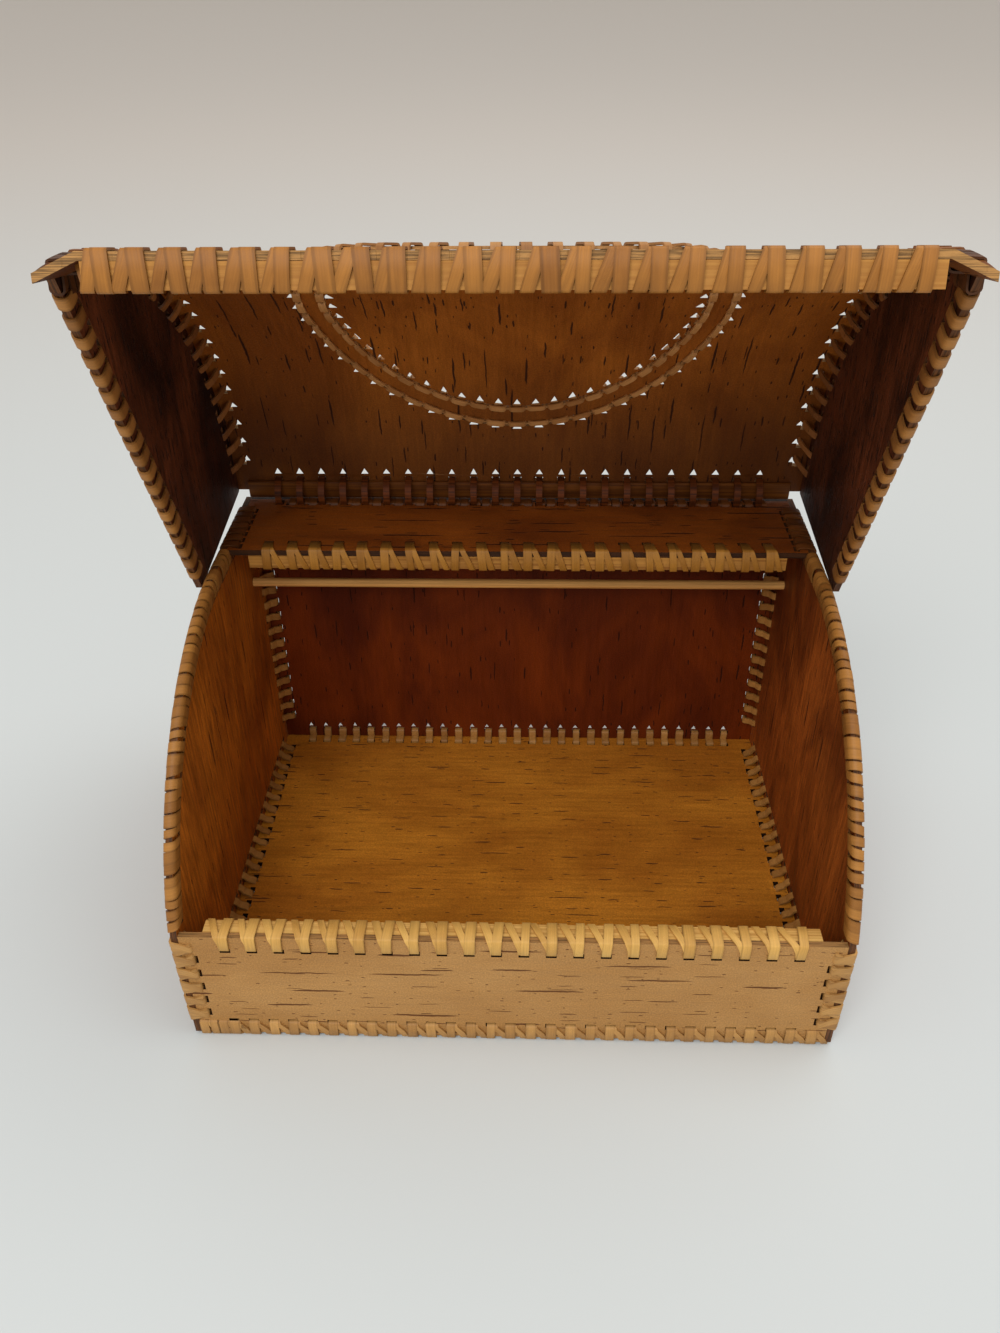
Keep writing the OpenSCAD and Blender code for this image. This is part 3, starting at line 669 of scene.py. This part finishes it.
# The grain of split root, over the lay of its strap: a tone of its own for each strap, fine lines
# along it and darker edges
root_grain, given, result = group_of("root_grain", ("Lay",), (), ("Tone", "Line", "Edge"))
axes = add(root_grain, "SeparateXYZ", {0: given["Lay"]}).outputs
own = add(root_grain, "TexWhiteNoise", {"W": axes["Z"]}, noise_dimensions="1D").outputs["Value"]
cloud = noise_of(root_grain, stretch_of(root_grain, given["Lay"], (120, 120, 7.3)), 2.0)
cloud = math_of(root_grain, "MULTIPLY", cloud, 0.5)
line = noise_of(root_grain, stretch_of(root_grain, given["Lay"], (1500, 60, 1)), 3.0)
edge = ramp_of(root_grain, math_of(root_grain, "ABSOLUTE", axes["X"]), 0.0014, 0.0023, 1.0, 0.72)
root_grain.links.new(math_of(root_grain, "MULTIPLY_ADD", own, 0.55, cloud, clamp=True), result["Tone"])
root_grain.links.new(line, result["Line"])
root_grain.links.new(edge, result["Edge"])


def root_strap(name, light, dark, shade_and_age_length=None):
    """Split root of two tones. A strap given a shade and age length is darker from its start to that length:
    painted shade where it lies on the shelf under the lid, with age.
    """
    made, tree, shader = skin_of(name, 0.25)
    lay = add(tree, "Attribute", attribute_name="lay", attribute_type="GEOMETRY").outputs["Vector"]
    grain = add(tree, "Group", {"Lay": lay}, node_tree=root_grain).outputs
    lines = math_of(tree, "MULTIPLY_ADD", grain["Line"], 0.5, 0.75)
    lines = math_of(tree, "MULTIPLY", grain["Edge"], lines)
    if shade_and_age_length:
        run = add(tree, "SeparateXYZ", {0: lay}).outputs["Y"]
        # Painted shade, with age, over the strap's first stretch.
        shade_and_age = ramp_of(tree, run, shade_and_age_length - 0.001, shade_and_age_length + 0.001, 0.5, 1.0)
        lines = math_of(tree, "MULTIPLY", lines, shade_and_age)
    body = dimmed(tree, colours_of(tree, grain["Tone"], tint(*dark), tint(*light)), lines)
    tree.links.new(body, shader.inputs["Base Color"])
    tree.links.new(math_of(tree, "MULTIPLY_ADD", grain["Line"], 0.2, 0.38), shader.inputs["Roughness"])
    relief(tree, shader, grain["Line"], 0.5, 0.0002)
    return made


def corner_path(shift=0.0, start=0.0, swell=0.0004, lift=lift, inside=True):
    """Round two sheets that meet at a corner, from the second sheet's hole over the corner to the
    first sheet's hole, and a little way on inside. A slanted strap shifts along the seam."""
    turns = [(thickness + lift, hole*0.45), (thickness + lift, hole + lift), (-lift, hole + lift),
             (-lift - swell, hole*0.5), (-lift, -lift), (hole*0.5, -lift - swell),
             (hole + lift, -lift), (hole + lift, thickness + lift), (hole*0.45, thickness + lift)]
    share = [0, 0, 0, 0.45, 0.75, 0.9, 1, 1, 1]
    if not inside:
        turns = [(thickness*0.4, hole + lift)] + turns[2:7] + [(hole + lift, thickness*0.4)]
        share = share[1:8]
    return [(start + shift*k, y, z) for k, (y, z) in zip(share, turns)]


def closed_path(reach=hole, shift=0.0, span=0.0056):
    """All the way round both sheets, and straight over the inner corner from hole to hole."""
    half = [(reach*0.5, -lift - flat_swell), (reach + lift, -lift), (reach + 0.0018, 0.0024),
            (reach + 0.0010, 0.0040), (span, span)]
    turns = [(z, y) for y, z in reversed(half)] + [(-lift, -lift)] + half
    share = [0, -0.35, -0.5, -0.5, -0.3, 0, 0.3, 0.5, 0.5, 0.35, 0]
    return [(shift*k, y, z) for k, (y, z) in zip(share, turns)]


tan_strap = root_strap("tan_root_strap", (190, 136, 70), (138, 90, 40))
bottom_strap = root_strap("bottom_root_strap", (204, 154, 88), (150, 104, 54))
plain = blanks_of("plain_strap", [(corner_path(swell=s), w) for s, w in (
    (0.00003, 0.0044), (0.0, 0.0041), (0.00002, 0.0046))])
slant = blanks_of("slant_strap", [(corner_path(s, 0.0012, 0.0001, 0.00045, False), 0.0032)
                                  for s in (0.0078, 0.0070)])
inner = blanks_of("inner_strap", [(closed_path(shift=s), w) for s, w in (
    (0.0016, 0.0044), (0.0006, 0.0042), (0.0024, 0.0040))], bend=0.0004)
row_ends = [-0.1445, -0.1355, -0.131, 0.1402]
front_row = [i*pitch for i in range(-15, 15)] + row_ends
sew("floor_front_straps", [slant, plain],
    [seat((x, front, bottom), (1, 0, 0), (0, 1, 0), (0, 0, 1)) for x in front_row],
    "base", bottom_strap, "floor_front_lacing", 11)
sew("floor_back_straps", [slant, plain],
    [seat((x, back, bottom), (1, 0, 0), (0, -1, 0), (0, 0, 1)) for x in row(2*(half_width - clear), pitch)],
    "base", tan_strap, "floor_back_lacing", 12)
for side, hand in (("left", -1), ("right", 1)):
    sew("floor_%s_straps" % side, [slant, inner],
        [seat((hand*half_width, middle_y + y, bottom), (0, 1, 0), (-hand, 0, 0), (0, 0, 1))
         for y in row(back - front - 2*clear, pitch)],
        "base", tan_strap, "floor_%s_lacing" % side, 13 + hand)

# ---------- upright seams ----------
# The same straps join the front and rear walls to the sides. At the front they lie close together, a
# straight strap and two slanted ones from each hole.
wide_slant = blanks_of("wide_slant", [(corner_path(s, 0.0012, 0.0001, 0.0005, False), 0.0042)
                                      for s in (-0.0052, -0.0044)])
steep_slant = blanks_of("steep_slant", [(corner_path(s, -0.001, 0.0, 0.00069, False), 0.0034)
                                        for s in (0.0042, 0.0050)])
upright_row = [z - 0.0004 for z in row(rim - bottom - clear, pitch)] + [0.0262]
for side, hand in (("left", -1), ("right", 1)):
    sew("front_%s_corner_straps" % side, [wide_slant, plain, steep_slant],
        [seat((hand*half_width, front, (bottom + rim)/2 + z), (0, 0, 1), (0, 1, 0), (-hand, 0, 0))
         for z in upright_row],
        "base", bottom_strap, "front_%s_corner_lacing" % side, 15 + hand, 1.6)
    sew("back_%s_corner_straps" % side, [slant, inner],
        [seat((hand*half_width, back, (bottom + top)/2 + z), (0, 0, 1), (0, -1, 0), (-hand, 0, 0))
         for z in row(top - bottom - 2*clear, pitch)],
        "base", tan_strap, "back_%s_corner_lacing" % side, 18 + hand)

# ---------- front rim ----------
# A lath lies flat behind the upper edge of the front wall. Each hole holds a straight strap of root
# round the edge and the lath, and a slanted one that leans to the left over them.
rim_depth, rim_lath, rim_pitch, rim_clear = 0.01015, 0.003, 0.0121, 0.0135


def rim_path(depth, shift, swell, start=0.0, lift=lift):
    """Round a sheet's edge and the lath beside it: out of the hole, over the edge and the lath's broad
    face, and back under the lath."""
    turns = [(thickness + lift, hole + lift), (-lift, hole + lift),
             (-lift - min(swell, flat_swell), hole*0.5), (-lift, -lift), (depth*0.5, -lift - swell),
             (depth + lift, -lift), (depth + lift, rim_lath + lift), (depth*0.6, rim_lath + lift + 0.001),
             (thickness + lift, hole*0.8)]
    share = [0, 0, 0.08, 0.3, 0.66, 1, 1.05, 1.3, 1.5]
    return [(start + shift*k, y, z) for k, (y, z) in zip(share, turns)]


pale_strap = root_strap("pale_root_strap", (228, 180, 98), (182, 130, 60))
rim_plain = blanks_of("rim_plain", [(rim_path(rim_depth, s, b), w) for s, b, w in (
    (0.0004, 0.0003, 0.0043), (0.0009, 0.0005, 0.0040), (-0.0003, 0.0002, 0.0046))])
rim_slant = blanks_of("rim_slant", [(rim_path(rim_depth, s, 0.0001, -0.0004, 0.00048), w) for s, w in (
    (-0.0064, 0.0032), (-0.0056, 0.0036), (-0.0071, 0.0030))])
rim_row = row(2*(half_width - rim_clear), rim_pitch)
sew("front_rim_straps", [rim_slant, rim_plain],
    [seat((x, front, rim), (1, 0, 0), (0, 1, 0), (0, 0, -1)) for x in rim_row],
    "base", pale_strap, "front_rim_lacing", 21)

# ---------- shelf seams ----------
# The shelf's front edge has a lath hung under it, laced like the rim with the slanted straps
# leaning to the right. Its ends and its rear edge are laced to the walls.
shelf_front_y, shelf_seam, seam_crowding = back - 0.060, 0.047, 0.7
# The shelf's straps are darker over their first 11 mm, where they lie on the shelf's top: painted shade under
# the lid, with age.
shelf_strap = root_strap("shelf_root_strap", (192, 134, 54), (136, 86, 30), shade_and_age_length=0.0112)
dark_strap = root_strap("dark_root_strap", (130, 74, 28), (74, 38, 14))
shelf_plain = blanks_of("shelf_plain", [(rim_path(rim_depth, s, b), w) for s, b, w in (
    (0.0004, 0.0003, 0.0040), (0.0012, 0.0005, 0.0036), (-0.0003, 0.0002, 0.0042))])
shelf_slant = blanks_of("shelf_slant", [(rim_path(rim_depth, s, 0.0001, 0.0012, 0.00048), w) for s, w in (
    (0.0066, 0.0030), (0.0056, 0.0034))])
shelf_side = blanks_of("shelf_side", [(corner_path(s, -s/2), 0.0042) for s in (0.0030, 0.0022)])
sew("shelf_front_straps", [shelf_slant, shelf_plain],
    [seat((x, shelf_front_y, top), (1, 0, 0), (0, 0, -1), (0, 1, 0)) for x in rim_row],
    "base", shelf_strap, "shelf_front_lacing", 22)
for side, hand in (("left", -1), ("right", 1)):
    sew("shelf_%s_straps" % side, [shelf_side],
        [seat((hand*half_width, shelf_front_y + shelf_seam/2 + y, top), (0, 1, 0), (-hand, 0, 0), (0, 0, -1))
         for y in row(shelf_seam, pitch*seam_crowding)],
        "base", dark_strap, "shelf_%s_lacing" % side, 25 + hand)
sew("shelf_back_straps", [slant, inner],
    [seat((x, back, top), (1, 0, 0), (0, -1, 0), (0, 0, -1)) for x in row(22*lid_pitch, lid_pitch)],
    "base", dark_strap, "shelf_back_lacing", 27)

# ---------- curved edges ----------
# The free edges of the side walls are whipped over closely with thin root, strap beside strap, each
# through a hole of its own: round the curve and on along the short flat stretch to the shelf.
curve_y, curve_z, curve_r = 0.026379, 0.023, 0.148
curve_start = 180 - math.degrees(math.asin((rim - curve_z)/curve_r))
edge_pitch = 0.0052


def edge_path(shift, swell, outer=0.4, inner=0.6):
    """Over the edge of one sheet: up its outer face, round the edge and down its inner face to the
    hole. Outside and inside the strap swells by those shares."""
    turns = [(hole + lift, thickness*0.4), (hole + lift, -lift), (hole*0.5, -lift - swell*outer),
             (0.0008, -lift - swell*outer*0.8), (-lift*0.5 - swell*0.3, -lift*0.2),
             (-lift - swell*0.4, thickness*0.5), (-lift*0.5 - swell*0.3, thickness + lift*0.2),
             (0.0008, thickness + lift + swell*inner*0.8), (hole*0.5, thickness + lift + swell*inner),
             (hole + lift, thickness + lift), (hole + lift, thickness*0.6)]
    share = [-0.5, -0.5, -0.35, -0.18, -0.09, 0, 0.09, 0.18, 0.35, 0.5, 0.5]
    return [(shift*k, y, z) for k, (y, z) in zip(share, turns)]


edge_strap = root_strap("edge_root_strap", (186, 128, 60), (122, 74, 28))
whip = blanks_of("whip", [(edge_path(s, b), w) for s, b, w in (
    (0.0040, 0.0008, 0.0047), (0.0026, 0.0012, 0.0044), (0.0054, 0.0006, 0.0041),
    (0.0034, 0.0010, 0.0049))], thick=0.0007, bend=0.0005, rounds=2)
whip_count = int((math.radians(curve_start - 90)*curve_r - 0.004)/edge_pitch)
flat = shelf_front_y - curve_y
for side, hand in (("left", -1), ("right", 1)):
    places = []
    for i in range(whip_count):
        turn = math.radians(curve_start - (i + 0.9)*(curve_start - 90)/whip_count)
        out = Vector((0, math.cos(turn), math.sin(turn)))
        places.append(seat(Vector((hand*half_width, curve_y, curve_z)) + out*curve_r,
                           (0, math.sin(turn), -math.cos(turn)), -out, (-hand, 0, 0)))
    for y in row(flat - edge_pitch, edge_pitch):
        places.append(seat((hand*half_width, curve_y + flat/2 + edge_pitch/2 + y, top),
                           (0, 1, 0), (0, 0, -1), (-hand, 0, 0)))
    sew("%s_edge_straps" % side, [whip], places,
        "base", edge_strap, "%s_edge_lacing" % side, 31 + hand, 2.0)

# ---------- lid front ----------
# A broad softwood lath stands inside the lid's front edge. Root straps lace it to the bark like the rim
# of the base, each through a hole below the edge.
lid_half, lid_depth, lid_flat = 0.156, 0.01215, 0.050
lid_strap = root_strap("lid_root_strap", (180, 120, 52), (134, 82, 32))
lid_plain = blanks_of("lid_plain", [(rim_path(lid_depth, s, b), w) for s, b, w in (
    (0.0006, 0.0003, 0.0054), (-0.0005, 0.0006, 0.0049), (0.0012, 0.0002, 0.0058))])
lid_slant = blanks_of("lid_slant", [(rim_path(lid_depth, s, 0.0001, -0.0004, 0.00048), w) for s, w in (
    (-0.0062, 0.0046), (-0.0052, 0.0050))])
places = []
for x in row(2*(lid_half - thickness - rim_clear), rim_pitch):
    spot, across, back_way, out = on_sheet(x, arc_length + lid_flat, thickness)
    places.append(seat(spot, across, -out, back_way))
sew("lid_front_straps", [lid_slant, lid_plain], places,
    "lid", lid_strap, "lid_front_lacing", 41)

# ---------- lid seams ----------
# The cheeks are laced to the sheet's edges with slanted straps, flatter towards the front so that the
# lid can close. Loose loops hang at the front corners, and tan straps whip the cheeks' free edges.


def on_edge(hand, s):
    """The seat of a strap on the lid's side edge at distance s from the hinge, on round the arc."""
    turn = arc_start + s/arc_r
    out = Vector((0, math.cos(turn), math.sin(turn)))
    return seat(Vector((hand*lid_half, arc_y, arc_z)) + out*(arc_r + thickness),
                (0, math.sin(turn), -math.cos(turn)), (-hand, 0, 0), -out)


seam_strap = root_strap("seam_root_strap", (158, 98, 48), (98, 54, 24))
loop_strap = root_strap("loop_root_strap", (104, 62, 32), (56, 30, 14))
cheek_strap = root_strap("cheek_root_strap", (186, 128, 64), (122, 76, 34))
seam, seam_end = [blanks_of("seam_strap", [(closed_path(r, s, span), w) for r, s, w in (
    (0.0076, -0.0052, 0.0038), (0.0080, -0.0066, 0.0035), (0.0074, -0.0040, 0.0040))], bend=0.0005)
    for span in (0.0066, 0.0040)]
loop = blanks_of("loop", [(closed_path(r, s, 0.0040), w) for r, s, w in (
    (0.0088, 0.003, 0.0036), (0.0105, -0.002, 0.0040))], thick=0.0008, bend=0.0008, rounds=2)
lobe = blanks_of("lobe", [(edge_path(s, b, 0.05, 0.15), w) for s, b, w in (
    (0.0036, 0.0009, 0.0052), (0.0048, 0.0012, 0.0047), (0.0024, 0.0006, 0.0055))],
    thick=0.0008, bend=0.0006, rounds=2)
seam_count, flat_from, cheek_reach = 19, 12, 0.040
corner_turn = arc_end + cheek_reach/arc_r
cheek_corner = Vector((0, arc_y + arc_r*math.cos(corner_turn), arc_z + arc_r*math.sin(corner_turn)))
cheek_tip = Vector((0, 0.01971, 0.16615))
edge_way = (cheek_tip - cheek_corner).normalized()
edge_in = Vector((0, -edge_way.z, edge_way.y))
edge_length = (cheek_tip - cheek_corner).length
for side, hand in (("left", -1), ("right", 1)):
    places = [on_edge(hand, clear + (i + 0.5)*lid_pitch) for i in range(seam_count)]
    sew("%s_seam_straps" % side, [seam], places[:flat_from],
        "lid", seam_strap, "%s_seam_lacing" % side, 44 + hand)
    sew("%s_seam_end_straps" % side, [seam_end], places[flat_from:],
        "lid", seam_strap, "%s_seam_lacing" % side, 54 + hand)
    sew("%s_front_loops" % side, [loop],
        [on_edge(hand, arc_length + reach) for reach in (0.0232, 0.0285, 0.0335)],
        "lid", loop_strap, "%s_seam_lacing" % side, 48 + hand, 2.0)
    middle = cheek_corner + edge_way*(edge_length/2) + Vector((hand*lid_half, 0, 0))
    sew("%s_cheek_straps" % side, [lobe],
        [seat(middle + edge_way*d, edge_way, edge_in, (-hand, 0, 0))
         for d in row(edge_length - clear, pitch)],
        "lid", cheek_strap, "%s_cheek_lacing" % side, 47 + hand)

# ---------- ring on the lid ----------
# A narrow band of bark is sewn on the outside in two circles of holes. Each strap crosses the band
# outside and runs along its circle from hole to hole inside.
dress("ring_band", bark(
    "ring_bark", light=(190, 140, 80), dark=(150, 100, 50), layers=((0.012, 0.004, 0.003, 0.0003, 0.2),)))


def on_ring(radius, turn):
    """A place on the lid's inner face round the ring's middle, with the ways out from that middle,
    along the circle and out of the sheet."""
    spot, across, back_way, out = on_sheet(radius*math.cos(turn), ring_s + radius*math.sin(turn))
    outward = across*math.cos(turn) - back_way*math.sin(turn)
    along = across*math.sin(turn) + back_way*math.cos(turn)
    return spot, outward, along, out


def run_path(span):
    """Along a circle inside, from hole to hole."""
    return [(0, y, z) for y, z in ((-span/2, 0.002), (-span/2 + 0.0004, -lift), (-span/4, -lift - 0.0003),
                                   (span/4, -lift - 0.0003), (span/2 - 0.0004, -lift), (span/2, 0.002))]


ring_strap = root_strap("ring_root_strap", (186, 136, 82), (138, 90, 48))
ring_inside = root_strap("ring_inside_strap", (212, 150, 88), (150, 94, 46))
over_path = [(0, y, z) for y, z in (
    (-ring_hole, -lift), (-ring_hole, 0.0049), (-0.0035, 0.0052), (0.0035, 0.0052), (ring_hole, 0.0049),
    (ring_hole, -lift))]
over = blanks_of("ring_over", [(over_path, w) for w in (0.0034, 0.0030, 0.0036)])
places = []
for i in range(ring_count):
    spot, outward, along, out = on_ring(ring_r, 2*math.pi*i/ring_count)
    places.append(seat(spot, along, outward, out))
sew("ring_straps", [over], places, "lid", ring_strap, "ring_lacing", 52)
for title, radius in (("inner", ring_r - ring_hole), ("outer", ring_r + ring_hole)):
    span = 2*math.pi*radius/ring_count
    runs = blanks_of("ring_run_" + title, [(run_path(span*k), w) for k, w in (
        (0.86, 0.0030), (0.92, 0.0026), (0.8, 0.0032))])
    places = []
    for i in range(ring_count):
        spot, outward, along, out = on_ring(radius, 2*math.pi*(i + 0.5)/ring_count)
        places.append(seat(spot, outward, along, out))
    sew("ring_%s_runs" % title, [runs], places, "lid", ring_inside, "ring_lacing", 53)
for blank in strap_blanks:
    bpy.data.objects.remove(blank, do_unlink=True)

# ---------- hinge loops ----------
# Narrow dark straps of root carry the lid. Each is a loop through the lid, the rear wall and the shelf,
# and the lid turns in it. They are the construction's own loops.
dress("hinge_loops", wood("hinge_strap", (118, 58, 18), (64, 28, 7)))
